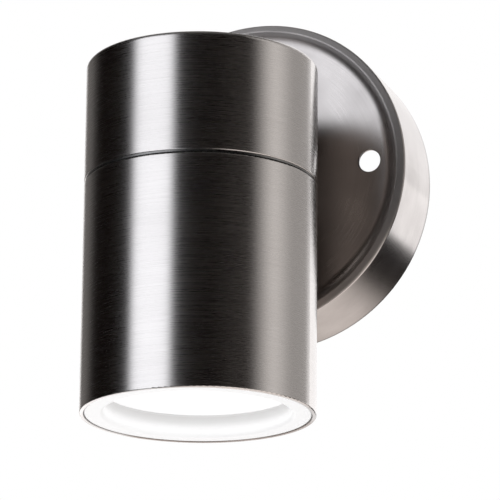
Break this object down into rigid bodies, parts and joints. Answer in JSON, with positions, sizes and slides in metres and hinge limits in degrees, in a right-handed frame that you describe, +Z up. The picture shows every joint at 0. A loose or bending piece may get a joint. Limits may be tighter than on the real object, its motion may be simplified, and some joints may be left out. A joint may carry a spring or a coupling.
{
  "type": "tube wall light",
  "caption": "Vertical tube down light on a stub arm and round pressed wall plate; the lower tube unscrews from the upper and a twist-lock reflector lamp shines down through a recessed lens.",
  "frame": {"origin": "centre of the round wall plate's back, in the plane of the wall", "axes": "+Z up along the tube, front towards -Y away from the wall, +X to the right as seen from the front"},
  "size_m": [0.0856, 0.09, 0.1172],
  "materials": {
    "brushed_steel": "fine circular brushing",
    "black_rubber": "matt",
    "grey_rubber": "matt",
    "white_silicone": "matt",
    "satin_aluminium": "turned",
    "zinc_plate": "zinc plated",
    "spring_steel": "dark spring steel",
    "natural_nylon": "moulded",
    "brass": "satin",
    "white_moulding": "fine satin",
    "opal_glass": "frosted inner face",
    "glazed_ceramic": "glazed",
    "lamp_shell": "satin",
    "lamp_base": "moulded",
    "lamp_pin": "bright nickel",
    "lamp_diffuser": "frosted",
    "circuit_board": "white solder mask",
    "led_phosphor": "phosphor",
    "brown_insulation": "sleeved",
    "blue_insulation": "sleeved",
    "green_yellow_insulation": "sleeved"
  },
  "bodies": {
    "root": {"wall_plate": "brushed_steel", "upper_housing": "brushed_steel", "wall_gasket": "black_rubber", "arm_seal": "black_rubber", "arm_spacer": "satin_aluminium", "threaded_collar": "satin_aluminium", "nipple": "zinc_plate", "saddle_washer": "zinc_plate", "plate_lock_washer": "zinc_plate", "plate_lock_nut": "zinc_plate", "housing_lock_washer": "zinc_plate", "housing_lock_nut": "zinc_plate", "terminal_strip": "zinc_plate", "block_screws": "zinc_plate", "terminal_screws": "zinc_plate", "lampholder_screws": "zinc_plate", "holder_bracket": "zinc_plate", "nipple_bushes": "natural_nylon", "terminal_block": "natural_nylon", "terminal_clamps": "brass", "earth_screw": "brass", "earth_tag": "brass", "holder_contacts": "brass", "lampholder_base": "glazed_ceramic", "lampholder_cover": "glazed_ceramic", "live_wire": "brown_insulation", "neutral_wire": "blue_insulation", "earth_wire": "green_yellow_insulation"},
    "seal": {"seal_ring": "grey_rubber"},
    "slip": {"slip_washer": "natural_nylon"},
    "lower": {"lower_housing": "brushed_steel", "threaded_insert": "satin_aluminium", "lens_bezel": "white_moulding", "lens_gasket": "white_silicone", "lens_glass": "opal_glass", "lens_clip": "spring_steel"},
    "lamp": {"lamp_body": "lamp_shell", "lamp_base": "lamp_base", "lamp_pins": "lamp_pin", "lamp_lens": "lamp_diffuser", "led_board": "circuit_board", "led_chips": "led_phosphor"}
  },
  "joints": [
    {"name": "housing_pull_off", "type": "slide", "parent": "root", "child": "seal", "axis": [0, 0, -1], "range_m": [0, 0.075]},
    {"name": "thread_travel", "type": "slide", "parent": "seal", "child": "slip", "axis": [0, 0, -1], "range_m": [0, 0.0045]},
    {"name": "housing_unscrew", "type": "hinge", "parent": "slip", "child": "lower", "pos_m": [0, -0.06, 0], "axis": [0, 0, -1], "range_deg": [0, 1080]},
    {"name": "lamp_twist", "type": "hinge", "parent": "root", "child": "lamp", "pos_m": [0, -0.06, 0], "axis": [0, 0, -1], "range_deg": [0, 45]}
  ],
  "couplings": [
    {"joint": "thread_travel", "follows": "housing_unscrew", "m_per_rad": 0.00023873}
  ]
}
